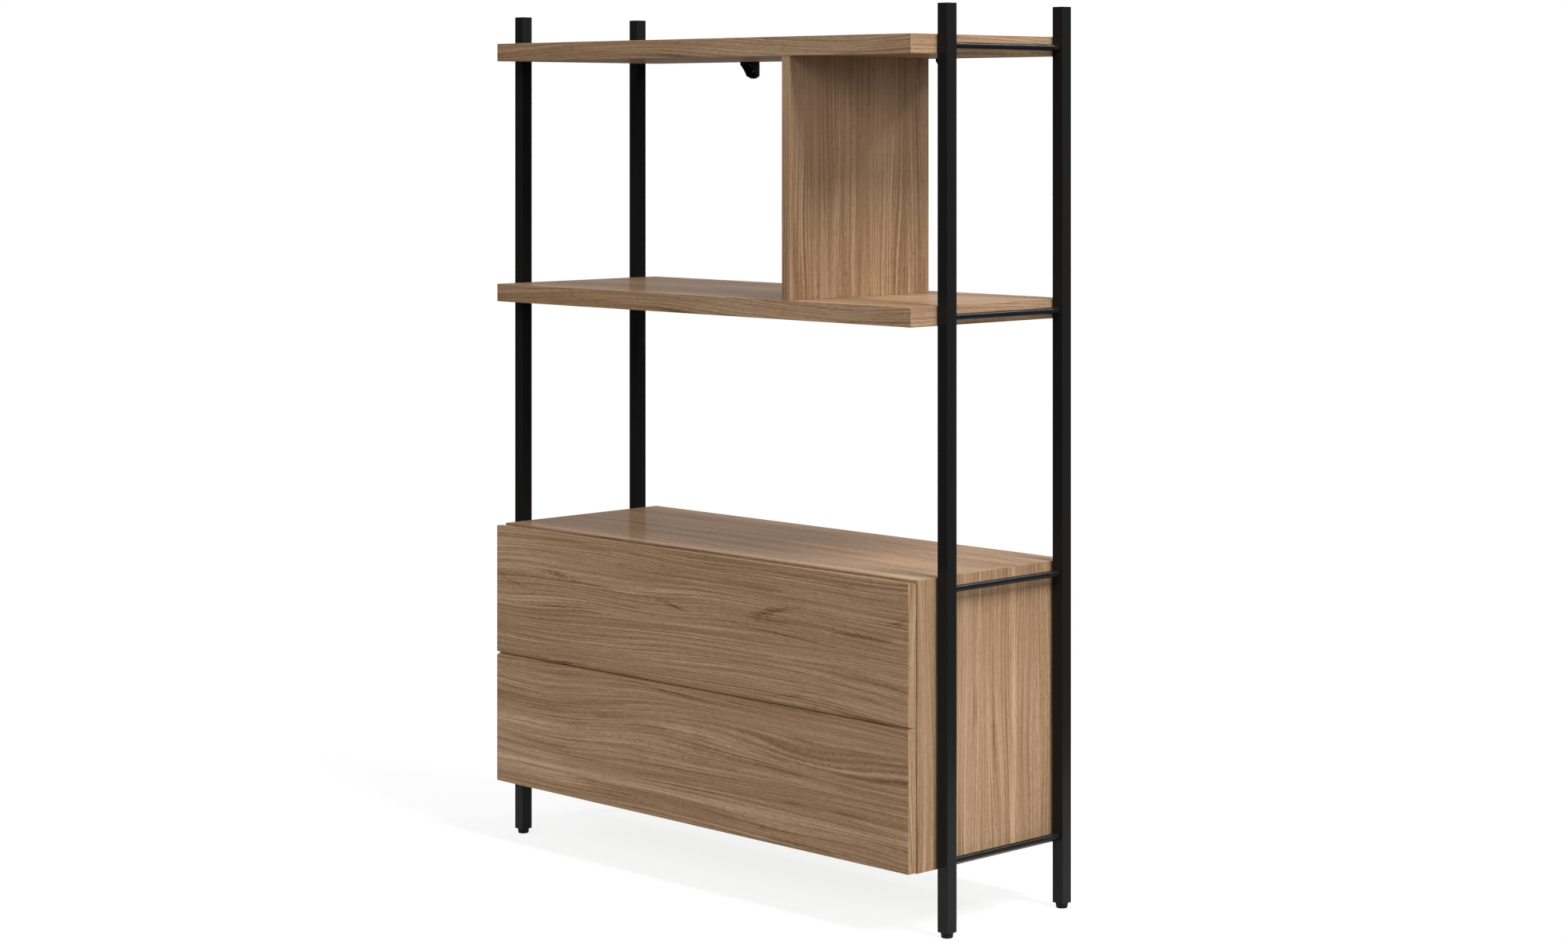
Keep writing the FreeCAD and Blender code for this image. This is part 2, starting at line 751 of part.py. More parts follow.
def make_front(drawer):
    """The front's profile seen from its end; where the two fronts meet, their faces slope back."""
    if drawer == "upper":
        outline = [("0", "meeting_slope_height"), ("meeting_slope_depth", "0"), ("front_thick", "0"),
                   ("front_thick", "front_height"), ("0", "front_height")]
    else:
        outline = [("0", "0"), ("front_thick", "0"), ("front_thick", "front_height"),
                   ("meeting_slope_depth", "front_height"),
                   ("0", "front_height - meeting_slope_height")]
    body = prism("YZ_Plane", [outline], "cabinet_width")

    def grip_edge(edge, middle, bounds):
        wide = same(edge.BoundBox.XLength, bounds.XLength)
        return wide and same(middle.y, bounds.YMax) and same(middle.z, bounds.ZMax)

    if drawer == "upper":
        round_edges(body, grip_edge, "grip_round")
    place(body, "-cabinet_half", "front_face", DRAWERS[drawer])
    holes = []
    for x, z in front_screw_places(drawer):
        start = (x, "box_front + overrun", z)
        holes.append(cylinder("front_screw_dia", "overrun + front_screw_bite", start, "-y"))
    node(f"{drawer}_front", cut(body, holes))


def front_screw_places(drawer):
    base = box_bottom_z(drawer)
    for sign in SIDES.values():
        for share in FRONT_SCREW_SHARES:
            yield f"{sign} * (box_half - front_screw_inset)", f"{base} + {share} * box_height"


def make_front_screws(drawer):
    screws = []
    for x, z in front_screw_places(drawer):
        start = (x, "box_front + box_wall", z)
        reach = "box_wall + front_screw_bite"
        shank = cylinder("front_screw_dia - 2 * fastener_clear", reach, start, "-y")
        head = cylinder("front_screw_head_dia", "front_screw_head_height", start, "+y")
        screws.append(fuse([shank, head]))
    node(f"{drawer}_front_screws", group(screws))


def make_drawer_box(drawer):
    base = box_bottom_z(drawer)
    groove_top = "groove_height + groove_width"
    for side, sign in SIDES.items():
        inner = f"{-sign} * box_wall"
        bed = f"{-sign} * (box_wall - groove_depth)"
        outline = [("0", "0"), (inner, "0"), (inner, "groove_height"), (bed, "groove_height"),
                   (bed, groove_top), (inner, groove_top), (inner, "box_height"), ("0", "box_height")]
        body = prism("XZ_Plane", [outline], "box_depth", reverse=True)
        place(body, f"{sign} * box_half", "box_front", base)
        node(f"{drawer}_box_{side}_side", cut(body, drawer_screws(side, drawer, "fastener_clear")))
    for end, corner, turn in (("front", "box_front", 1), ("back", "box_back", -1)):
        inner = f"{turn} * box_wall"
        bed = f"{turn} * (box_wall - groove_depth)"
        outline = [("0", "0"), (inner, "0"), (inner, "groove_height"), (bed, "groove_height"),
                   (bed, groove_top), (inner, groove_top), (inner, "box_height"), ("0", "box_height")]
        body = prism("YZ_Plane", [outline], "box_inside_width")
        place(body, "-box_inside_width / 2", corner, base)
        if end == "front":
            holes = []
            for x, z in front_screw_places(drawer):
                start = (x, "box_front - overrun", z)
                holes.append(cylinder("front_screw_dia", "box_wall + 2 * overrun", start, "+y"))
            body = cut(body, holes)
        node(f"{drawer}_box_{end}", body)
    floor = box(("panel_width", "panel_depth", "box_bottom_thick"),
                ("-panel_width / 2", "box_front + box_wall - groove_depth + groove_clear",
                 f"{base} + groove_height + groove_clear"))
    node(f"{drawer}_box_floor", floor)


# Runners: three nested channels on each side of a drawer

def channel(half_height, web, flange_end):
    """A channel's outline from its web face to its flange ends, both measured along X."""
    inner = f"({web}) + runner_sheet * (({flange_end}) > ({web}) ? 1 : -1)"
    low, high = f"-({half_height})", half_height
    bend_low, bend_high = f"{low} + runner_sheet", f"{high} - runner_sheet"
    return [(web, low), (flange_end, low), (flange_end, bend_low), (inner, bend_low),
            (inner, bend_high), (flange_end, bend_high), (flange_end, high), (web, high)]


def make_channel(sign, half_height, web, flange_end, z):
    """A channel on one side; web and flange end are measured inwards from the cabinet side."""
    face = "carcass_inside_half"
    outline = channel(half_height, f"{sign} * ({face} - ({web}))", f"{sign} * ({face} - ({flange_end}))")
    body = prism("XZ_Plane", [outline], "runner_length", reverse=True)
    return place(body, "0", "runner_front", z)


def runner_screw_rows():
    return ("runner_front + runner_screw_inset", "runner_front + runner_length - runner_screw_inset")


def cabinet_screws(side, drawer, clear="0"):
    """The screws, or the room for them, that hold a fixed runner to the cabinet's side."""
    sign = SIDES[side]
    face = f"{sign} * (carcass_inside_half - runner_sheet)"
    towards = "+x" if sign > 0 else "-x"
    return [wood_screw((face, y, runner_z(drawer)), towards, clear) for y in runner_screw_rows()]


def drawer_screws(side, drawer, clear="0"):
    """The screws, or the room for them, that hold a runner to the side of a drawer's box."""
    sign = SIDES[side]
    face = f"{sign} * (box_half + runner_sheet)"
    towards = "-x" if sign > 0 else "+x"
    return [wood_screw((face, y, runner_z(drawer)), towards, clear) for y in runner_screw_rows()]


def make_runners(drawer):
    z = runner_z(drawer)
    outer_half = "runner_height / 2"
    middle_half = "runner_height / 2 - runner_sheet - runner_clear"
    inner_half = "runner_height / 2 - 2 * (runner_sheet + runner_clear)"
    middle_web = "runner_sheet + runner_clear"
    flange_end = "runner_thick - runner_sheet - runner_clear"
    outer, middle, inner, screws = [], [], [], []
    for side, sign in SIDES.items():
        fixed = make_channel(sign, outer_half, "0", flange_end, z)
        outer.append(cut(fixed, cabinet_screws(side, drawer, "fastener_clear")))
        middle.append(make_channel(sign, middle_half, middle_web, flange_end, z))
        riding = make_channel(sign, inner_half, "runner_thick", f"2 * ({middle_web})", z)
        inner.append(cut(riding, drawer_screws(side, drawer, "fastener_clear")))
        screws += drawer_screws(side, drawer)
    node(f"{drawer}_cabinet_runners", group(outer))
    node(f"{drawer}_middle_runners", group(middle))
    node(f"{drawer}_drawer_runners", group(inner))
    node(f"{drawer}_runner_screws", group(screws))


def make_frame_screws():
    """The same wood screws in the cabinet's sides and under the wall brackets."""
    screws = [bracket_screw(sign, "0") for sign in SIDES.values()]
    for side in SIDES:
        for drawer in DRAWERS:
            screws += cabinet_screws(side, drawer)
    node("wood_screws", group(screws))


# Push latches behind the drawers

def latch_z(drawer):
    return f"{box_bottom_z(drawer)} + box_height - latch_drop"


def make_latch_housings():
    housings = []
    for drawer in DRAWERS:
        z = latch_z(drawer)
        corner = ("-latch_base_width / 2", "back_inner_y - latch_base_thick", f"{z} - latch_base_height / 2")
        base = box(("latch_base_width", "latch_base_thick", "latch_base_height"), corner)
        barrel = cylinder("latch_dia", "latch_length", ("0", "latch_mouth", z), "+y")
        depth = "overrun + plunger_sunk + plunger_spring_room"
        bore = cylinder("plunger_dia + 2 * plunger_run_clear", depth, ("0", "latch_mouth - overrun", z), "+y")
        housings.append(cut(fuse([base, barrel]), [bore]))
    node("latch_housings", group(housings))


def make_plunger(drawer):
    start = ("0", "box_back + plunger_tip_clear", latch_z(drawer))
    body = cylinder("plunger_dia", "latch_mouth - box_back - plunger_tip_clear + plunger_sunk", start, "+y")
    node(f"{drawer}_latch_plunger", body)


# The whole unit

for side in SIDES:
    for row in POST_ROWS:
        make_post(side, row)
    make_crossbars(side)
make_caps()
make_sockets()
for number, (x, y) in enumerate(post_places(), start=1):
    make_foot(number, x, y)
make_rivet_nuts()
make_shelf("top_shelf", "top_shelf_z")
make_shelf("middle_shelf", "middle_shelf_z")
make_shelf_bolts()
make_divider()
make_dowels()
for side in SIDES:
    make_bracket(side)
make_cabinet_boards()
make_cabinet_bolts()
for drawer in DRAWERS:
    make_front(drawer)
    make_drawer_box(drawer)
    make_front_screws(drawer)
    make_runners(drawer)
    make_plunger(drawer)
make_frame_screws()
make_latch_housings()
document.recompute()

# Every object must be up to date and every sub-part whole before anything is written
for item in document.Objects:
    if "Invalid" in item.State or "Error" in item.State:
        raise RuntimeError(f"{item.Label} in {[user.Label for user in item.InList]} did not compute")
for item in NODES:
    if item.Shape.isNull() or not item.Shape.isValid():
        raise RuntimeError(f"{item.Label} has no valid shape")

os.makedirs("parts", exist_ok=True)
for item in NODES:
    item.Shape.exportStep(f"parts/{item.Label}.step")
    bounds = item.Shape.BoundBox
    print(f"{item.Label:26s} solids {len(item.Shape.Solids):2d}  volume {item.Shape.Volume / 1000:9.2f} cm3  "
          f"x {bounds.XMin:8.2f} {bounds.XMax:8.2f}  y {bounds.YMin:8.2f} {bounds.YMax:8.2f}  "
          f"z {bounds.ZMin:8.2f} {bounds.ZMax:8.2f}")
print(len(NODES), "sub-parts")
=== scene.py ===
# %% [markdown]
# # A shelving unit with drawers, dressed in Blender
#
# The unit is furniture for a living room: two welded side frames of black steel carry oak-veneered
# boards and a cabinet with two wide drawers. All its solids come from a CAD model. This lesson gives
# each of them the finish of the real thing, sets up a small photo studio round it, and leaves the
# shapes alone. The model is loaded first, because every other step asks it where things are.

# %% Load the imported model
import json
import math

import bpy
from mathutils import Matrix, Vector

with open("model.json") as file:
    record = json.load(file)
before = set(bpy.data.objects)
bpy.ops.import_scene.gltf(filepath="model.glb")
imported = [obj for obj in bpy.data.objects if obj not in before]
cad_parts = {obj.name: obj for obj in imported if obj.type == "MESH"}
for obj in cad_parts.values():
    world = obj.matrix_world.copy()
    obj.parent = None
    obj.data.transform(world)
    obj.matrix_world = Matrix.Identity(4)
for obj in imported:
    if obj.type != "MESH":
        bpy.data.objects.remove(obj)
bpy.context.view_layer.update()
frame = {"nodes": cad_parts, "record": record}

nodes = frame["nodes"]

# %% [markdown]
# ## Helpers for all materials
#
# A material in Blender is a tree of nodes joined by links. Each node here is added by one call, which
# names the kind of node, its options and what its sockets take. Colours are written as on a paint card,
# in sRGB hex, and one function turns them into the linear values that light is reckoned with.

# %% Helpers for nodes and colours
def linear(paint):
    """Turns a colour such as #9C7E62 into the linear red, green, blue and alpha that Blender takes."""
    shares = [int(paint[place:place + 2], 16) / 255 for place in (1, 3, 5)]
    return tuple(s / 12.92 if s <= 0.04045 else ((s + 0.055) / 1.055) ** 2.4 for s in shares) + (1.0,)


def add(tree, kind, options=(), feeds=()):
    """Adds one node to a tree, sets its options, and fills or links its sockets.

    A socket takes a plain value, an output of a node, or a node, which stands for its first output.
    """
    made = tree.nodes.new(kind)
    for name, value in dict(options).items():
        setattr(made, name, value)
    for name, value in dict(feeds).items():
        if isinstance(value, bpy.types.Node):
            value = value.outputs[0]
        if isinstance(value, bpy.types.NodeSocket):
            tree.links.new(value, made.inputs[name])
        else:
            made.inputs[name].default_value = value
    return made


def finish_material(name, slot_colour):
    """Makes an empty material and gives it and its tree, ready for nodes."""
    made = bpy.data.materials.new(name)
    made.use_nodes = True
    made.node_tree.nodes.clear()
    made.diffuse_color = linear(slot_colour)
    return made, made.node_tree


print("a mid oak brown is", [round(share, 3) for share in linear("#9C7E62")])

# %% [markdown]
# ## The grain of oak veneer
#
# Veneer is a sheet of real wood, sliced 0.6 mm thin and glued on a board. What the eye sees is the tree's
# own make-up at several sizes at once: broad bands from slow and quick years, growth lines a few
# millimetres apart, short flecks, fine fibres, and short dark pores. All of them follow the same bent
# lines. So the place on the board is first bent by two soft noises, and then every layer is drawn in the
# bent place. Real fibres and pores are less than half a millimetre wide. They are drawn 2.2 mm and 0.9 mm
# wide, because finer ones would be lost between the picture's pixels.

# %% The layers of the grain
BEND_LAYERS = (
    # name, patch along and across the grain in mm, detail, and how many mm the lines swing
    ("slow swing", 900.0, 120.0, 1.0, 62.0),
    ("quick swing", 260.0, 40.0, 1.0, 4.5),
)
TONE_LAYERS = (
    # name, patch along and across the grain in mm, detail, and how much tone it adds
    ("slow and quick years", 2400.0, 170.0, 0.0, 0.20),
    ("bands of years", 1500.0, 46.0, 1.0, 0.34),
    ("wide growth lines", 480.0, 6.0, 0.0, 0.24),
    ("long growth lines", 700.0, 2.8, 0.0, 0.43),
    ("short growth lines", 230.0, 3.2, 0.0, 0.24),
    ("flecks", 45.0, 4.0, 0.0, 0.10),
    ("fibres", 16.0, 2.2, 1.0, 0.26),
)
print("grain layers:", ", ".join(row[0] for row in TONE_LAYERS))

# %% [markdown]
# All boards share one grain, so its nodes are made once, as a group. A group has sockets of its own: it
# takes the place on the sheet and how far the board bends its lines, and gives the tone and the pores.
# A layer is soft noise in a place that was divided by the size of its patches, which makes it streaky.

# %% Grain as a shared group of nodes
NOISE_MIDDLE = 0.5
grain = bpy.data.node_groups.new("oak grain", "ShaderNodeTree")
for socket, in_or_out, data in (("Place", "INPUT", "Vector"), ("Bend", "INPUT", "Float"),
                                ("Tone", "OUTPUT", "Float"), ("Pores", "OUTPUT", "Float")):
    grain.interface.new_socket(socket, in_out=in_or_out, socket_type="NodeSocket" + data)


def grain_layer(label, where, length, width, detail):
    """Draws one layer of the grain: soft noise in patches of this length and width in mm."""
    in_patches = add(grain, "ShaderNodeVectorMath", {"operation": "DIVIDE"},
                     {0: where, 1: (length, width, 1.0)})
    return add(grain, "ShaderNodeTexNoise", {"noise_dimensions": "2D", "label": label},
               {"Vector": in_patches, "Scale": 1.0, "Detail": detail})


came_in = add(grain, "NodeGroupInput").outputs
place = add(grain, "ShaderNodeSeparateXYZ", feeds={0: came_in["Place"]}).outputs
ring = add(grain, "ShaderNodeMath", {"operation": "ADD"}, {0: came_in["Bend"], 1: place["Y"]})
for label, length, width, detail, swing in BEND_LAYERS:
    layer = grain_layer(label, came_in["Place"], length, width, detail)
    ring = add(grain, "ShaderNodeMath", {"operation": "MULTIPLY_ADD"}, {0: layer, 1: swing, 2: ring})
bent = add(grain, "ShaderNodeCombineXYZ", feeds={0: place["X"], 1: ring})

tone = NOISE_MIDDLE
for label, length, width, detail, amount in TONE_LAYERS:
    layer = grain_layer(label, bent, length, width, detail)
    centred = add(grain, "ShaderNodeMath", {"operation": "SUBTRACT"}, {0: layer, 1: NOISE_MIDDLE})
    tone = add(grain, "ShaderNodeMath", {"operation": "MULTIPLY_ADD"}, {0: centred, 1: amount, 2: tone})
print("nodes in the grain so far:", len(grain.nodes))

# %% [markdown]
# Two more marks make oak look like oak. Late wood draws a thin dark line where a year ends, which comes
# and goes along the board. It is drawn where a slow noise passes its middle value, which gives lines of
# one width at uneven distances. Pores are cut open by the slicing knife and show as short dark dashes.

# %% Late-wood lines and pores
SMOOTH = {"interpolation_type": "SMOOTHSTEP"}
YEAR_ENDS = (1300.0, 13.0, 1.0)  # patch along and across in mm, and detail
LINE_REACH = 0.045  # how far from its middle value the noise still draws a line
LINE_STRETCHES = (160.0, 26.0, 1.0)  # the patches in which a line comes and goes
LINES_FROM, LINES_FULL = 0.42, 0.64  # values of that noise at which lines set in and are full
LINE_DARKNESS = 0.2
PORES = (11.0, 0.9, 2.0)  # their length and width in mm, and detail
PORES_FROM, PORES_FULL = 0.58, 0.72  # high values alone, so that pores stay apart
PORE_DARKNESS = 0.22

years = grain_layer("year ends", bent, *YEAR_ENDS)
off_middle = add(grain, "ShaderNodeMath", {"operation": "SUBTRACT"}, {0: years, 1: NOISE_MIDDLE})
distance = add(grain, "ShaderNodeMath", {"operation": "ABSOLUTE"}, {0: off_middle})
line = add(grain, "ShaderNodeMapRange", SMOOTH,
           {"Value": distance, "From Min": 0.0, "From Max": LINE_REACH, "To Min": 1.0, "To Max": 0.0})
stretches = grain_layer("where lines show", bent, *LINE_STRETCHES)
shown = add(grain, "ShaderNodeMapRange", SMOOTH,
            {"Value": stretches, "From Min": LINES_FROM, "From Max": LINES_FULL,
             "To Min": 0.0, "To Max": LINE_DARKNESS})
late_wood = add(grain, "ShaderNodeMath", {"operation": "MULTIPLY"}, {0: line, 1: shown})
tone = add(grain, "ShaderNodeMath", {"operation": "SUBTRACT"}, {0: tone, 1: late_wood})

dashes = grain_layer("pores", bent, *PORES)
pores = add(grain, "ShaderNodeMapRange", SMOOTH,
            {"Value": dashes, "From Min": PORES_FROM, "From Max": PORES_FULL})
tone = add(grain, "ShaderNodeMath", {"operation": "MULTIPLY_ADD"}, {0: pores, 1: -PORE_DARKNESS, 2: tone})
add(grain, "NodeGroupOutput", feeds={"Tone": tone, "Pores": pores})
print("the grain group has", len(grain.nodes), "nodes")

# %% [markdown]
# ## A sheet of veneer for each board
#
# Every board has its own sheet. A sheet needs to know which way its grain runs and where on the endless
# grain it was cut. The board's own coordinates are the CAD model's, so the grain stays in the wood
# whatever looks at it. Across the grain a sheet is measured by width plus depth, so its lines run on round
# a board's long edges. Where a face cuts across the grain, a strip of edge veneer is glued on with its
# grain along the edge. It comes from another place on the endless grain.

# %% The place on a board's sheet
MM = 1000.0  # in one metre, which is Blender's own unit
AXES = "XYZ"
EDGE_SHEET = (7000.0, 900.0, 0.0)  # mm from the board's own sheet to that of its edge strips
END_LEAN = 0.75  # a face is an end where its normal leans this much along the grain
# A Mix node has two inputs and an output for each type of data, and numbers alone tell them apart
PLACE_A, PLACE_B, PLACE_OUT = 4, 5, 1


def sheet_place(tree, along, across, edge_along):
    """Gives the place on the sheet in mm, the place on the board in mm, and the face's normal."""
    spot = add(tree, "ShaderNodeTexCoord").outputs
    in_mm = add(tree, "ShaderNodeVectorMath", {"operation": "SCALE"}, {0: spot["Object"], "Scale": MM})
    board = add(tree, "ShaderNodeSeparateXYZ", feeds={0: in_mm}).outputs
    normal = add(tree, "ShaderNodeSeparateXYZ", feeds={0: spot["Normal"]}).outputs
    depth = AXES.replace(along, "").replace(across, "")
    edge_across = AXES.replace(along, "").replace(edge_along, "")
    sideways = add(tree, "ShaderNodeMath", {"operation": "ADD"}, {0: board[across], 1: board[depth]})
    face = add(tree, "ShaderNodeCombineXYZ", feeds={0: board[along], 1: sideways})
    edge = add(tree, "ShaderNodeCombineXYZ", feeds={0: board[edge_along], 1: board[edge_across]})
    edge = add(tree, "ShaderNodeVectorMath", {"operation": "ADD"}, {0: edge, 1: EDGE_SHEET})
    lean = add(tree, "ShaderNodeMath", {"operation": "ABSOLUTE"}, {0: normal[along]})
    is_end = add(tree, "ShaderNodeMath", {"operation": "GREATER_THAN"}, {0: lean, 1: END_LEAN})
    at = add(tree, "ShaderNodeMix", {"data_type": "VECTOR"}, {0: is_end, PLACE_A: face, PLACE_B: edge})
    return at.outputs[PLACE_OUT], board, normal


print("edge strips are cut", EDGE_SHEET[0] / MM, "m further along the grain")

# %% [markdown]
# ### Fans
#
# A tree leaves marks on its sheets. Where a branch was near, the lines run aslant for a stretch and then
# level out again, which is called a fan here. It bends the grain's lines before anything is drawn along
# them, so it is made first. Each mark is one short row of numbers in mm on the board. The plane is where
# the board's face lies in depth, and it is added because the sheet's measure has the depth in it.

# %% Fans
FAN_RISE, FAN_FALL = 0.65, 0.35  # shares of a fan's height in which it sets in and dies away


def fan_bend(tree, here, plane, fans):
    """Says by how many mm the grain is bent aside.

    A fan is its low and high edge across the grain, its start and stop along it, and its slope.
    """
    bend = 0.0
    for low, high, start, stop, slope in fans:
        low, high = plane + low, plane + high
        up = add(tree, "ShaderNodeMapRange", SMOOTH,
                 {"Value": here["Y"], "From Min": low, "From Max": low + FAN_RISE * (high - low)})
        down = add(tree, "ShaderNodeMapRange", SMOOTH,
                   {"Value": here["Y"], "From Min": high - FAN_FALL * (high - low), "From Max": high,
                    "To Min": 1.0, "To Max": 0.0})
        inside = add(tree, "ShaderNodeMath", {"operation": "MULTIPLY"}, {0: up, 1: down})
        run = add(tree, "ShaderNodeMapRange", SMOOTH,
                  {"Value": here["X"], "From Min": start, "From Max": stop,
                   "To Min": 0.0, "To Max": slope * (start - stop)})
        bend = add(tree, "ShaderNodeMath", {"operation": "MULTIPLY_ADD"}, {0: inside, 1: run, 2: bend})
    return bend


print("a fan sets in over", FAN_RISE, "of its height")

# %% [markdown]
# ### Bands and streaks
#
# A band is a little lighter or darker than the rest from end to end. A streak is a dark or pale place
# round a small flaw. A flaw has no clean outline in real wood, so the tone of the grain frays its rim.
# Some bands and very wide streaks carry painted light and shade instead: a pale band and a dark shade
# line where light and shade fall, and a board's top made lighter and its bottom darker.

# %% Bands and streaks
BAND_CORE = 0.4  # share of a band's half width that has its full tone
FRAYED = 1.6  # how much the grain's tone, about 0.5, adds to the distance from a streak's middle
STREAK_CORE, STREAK_RIM = 0.7, 1.9  # that sum, in half lengths or widths, where it starts to fade and ends


def with_bands(tree, tone, here, plane, bands):
    """Adds the bands to the tone; a band is its middle, its half width, and how much lighter it is."""
    for middle, half_width, lighter in bands:
        off = add(tree, "ShaderNodeMath", {"operation": "SUBTRACT"}, {0: here["Y"], 1: plane + middle})
        off = add(tree, "ShaderNodeMath", {"operation": "ABSOLUTE"}, {0: off})
        band = add(tree, "ShaderNodeMapRange", SMOOTH,
                   {"Value": off, "From Min": BAND_CORE * half_width, "From Max": half_width,
                    "To Min": lighter, "To Max": 0.0})
        tone = add(tree, "ShaderNodeMath", {"operation": "ADD"}, {0: tone, 1: band})
    return tone


def with_streaks(tree, tone, at, plane, streaks):
    """Adds the streaks to the tone.

    A streak is its middle along and across, its half length and half width, its slope, and how much
    lighter it is.
    """
    for along, across, half_length, half_width, slope, lighter in streaks:
        off = add(tree, "ShaderNodeVectorMath", {"operation": "SUBTRACT"},
                  {0: at, 1: (along, plane + across, 0.0)})
        off = add(tree, "ShaderNodeSeparateXYZ", feeds={0: off}).outputs
        aslant = add(tree, "ShaderNodeMath", {"operation": "MULTIPLY_ADD"},
                     {0: off["X"], 1: -slope, 2: off["Y"]})
        in_halves = add(tree, "ShaderNodeCombineXYZ", feeds={0: off["X"], 1: aslant})
        in_halves = add(tree, "ShaderNodeVectorMath", {"operation": "DIVIDE"},
                        {0: in_halves, 1: (half_length, half_width, 1.0)})
        away = add(tree, "ShaderNodeVectorMath", {"operation": "LENGTH"}, {0: in_halves})
        rim = add(tree, "ShaderNodeMath", {"operation": "MULTIPLY_ADD"},
                  {0: tone, 1: FRAYED, 2: away.outputs["Value"]})
        streak = add(tree, "ShaderNodeMapRange", SMOOTH,
                     {"Value": rim, "From Min": STREAK_CORE, "From Max": STREAK_RIM,
                      "To Min": lighter, "To Max": 0.0})
        tone = add(tree, "ShaderNodeMath", {"operation": "ADD"}, {0: tone, 1: streak})
    return tone


print("a streak fades over", round(STREAK_RIM - STREAK_CORE, 1), "of its half width")

# %% [markdown]
# ### Edge tones and painted light on edges
#
# Edges that lean out of the face can be given their own tone, a few millimetres up and down from a given
# height, so this mark asks the normal. In the drawer joint it is painted light: the slopes and the gap
# between the fronts are made lighter, which stands in for light inside the joint.

# %% Edge tones and painted light on edges
EDGE_LEAN = 0.5  # an edge leans where its normal turns this much out of the face


def with_edge_tone_and_painted_light(tree, tone, height, lean, edge_tone_and_painted_light):
    """Adds the edges to the tone; one is its middle height, its reach, and how much lighter it is."""
    for middle, reach, lighter in edge_tone_and_painted_light:
        leaning = add(tree, "ShaderNodeMath", {"operation": "ABSOLUTE"}, {0: lean})
        leaning = add(tree, "ShaderNodeMath", {"operation": "GREATER_THAN"}, {0: leaning, 1: EDGE_LEAN})
        near = add(tree, "ShaderNodeMath", {"operation": "COMPARE"}, {0: height, 1: middle, 2: reach})
        both = add(tree, "ShaderNodeMath", {"operation": "MULTIPLY"}, {0: leaning, 1: near})
        tone = add(tree, "ShaderNodeMath", {"operation": "MULTIPLY_ADD"}, {0: both, 1: lighter, 2: tone})
    return tone


print("an edge leans above", round(math.degrees(math.asin(EDGE_LEAN))), "degrees")

# %% [markdown]
# ### Stain and lacquer
#
# The wood is stained a greyish middle brown and has a matt lacquer. Dark grain takes the stain redder and
# light grain greyer, so three colours in a row stand for it. Lacquer is clear, with an IOR of 1.5, so it
# is a thin coat over the wood: its shine hardly shows from above, and grows when one looks along a board.
# The wood below scatters light to all sides and has almost no shine of its own. Matt wood is usually
# about 0.6 rough, and it is rougher still in the pores.

# %% Veneer material
STAINS = ("#62462D", "#9B7C5F", "#CBAD91")  # in dark grain, in the middle and in light grain
ROUGH_WOOD, ROUGH_PORES = 0.6, 0.72
RELIEF = {"Strength": 0.25, "Distance": 0.2 / MM}
LACQUER = {"IOR": 1.5, "Specular IOR Level": 0.03, "Coat Weight": 0.08, "Coat Roughness": 0.12,
           "Coat IOR": 1.5}


def oak_veneer(name, along, across, edge_along, cut, lighter=0.0, plane=0.0,
               fans=(), bands=(), streaks=(), edge_tone_and_painted_light=()):
    """Makes one board's lacquered veneer, with all sizes in mm.

    along and across: the axis that the grain runs along, and the one that its lines lie across
    edge_along: the axis that the grain of the edge strips runs along
    cut: the sheet's place on the endless grain
    lighter: how much lighter than the grain's own tone the whole sheet is
    plane: where the face with the marks lies in depth
    """
    made, tree = finish_material(name, STAINS[1])
    at, board, normal = sheet_place(tree, along, across, edge_along)
    here = add(tree, "ShaderNodeSeparateXYZ", feeds={0: at}).outputs
    on_grain = add(tree, "ShaderNodeVectorMath", {"operation": "ADD"}, {0: at, 1: (*cut, 0.0)})
    wood = add(tree, "ShaderNodeGroup", {"node_tree": grain},
               {"Place": on_grain, "Bend": fan_bend(tree, here, plane, fans)}).outputs
    tone = add(tree, "ShaderNodeMath", {"operation": "ADD"}, {0: wood["Tone"], 1: lighter})
    tone = with_bands(tree, tone, here, plane, bands)
    tone = with_streaks(tree, tone, at, plane, streaks)
    tone = with_edge_tone_and_painted_light(tree, tone, board[across], normal[across], edge_tone_and_painted_light)

    stain = add(tree, "ShaderNodeValToRGB", feeds={"Fac": tone})
    stops = stain.color_ramp.elements
    stops[0].position, stops[0].color = 0.0, linear(STAINS[0])
    stops[1].position, stops[1].color = 1.0, linear(STAINS[2])
    stops.new(NOISE_MIDDLE).color = linear(STAINS[1])
    relief = add(tree, "ShaderNodeBump", feeds={**RELIEF, "Height": tone})
    roughness = add(tree, "ShaderNodeMapRange",
                    feeds={"Value": wood["Pores"], "To Min": ROUGH_WOOD, "To Max": ROUGH_PORES})
    surface = add(tree, "ShaderNodeBsdfPrincipled", feeds={
        "Base Color": stain, "Roughness": roughness, "Normal": relief, **LACQUER})
    add(tree, "ShaderNodeOutputMaterial", feeds={"Surface": surface})
    return made


print("stains:", ", ".join(STAINS))
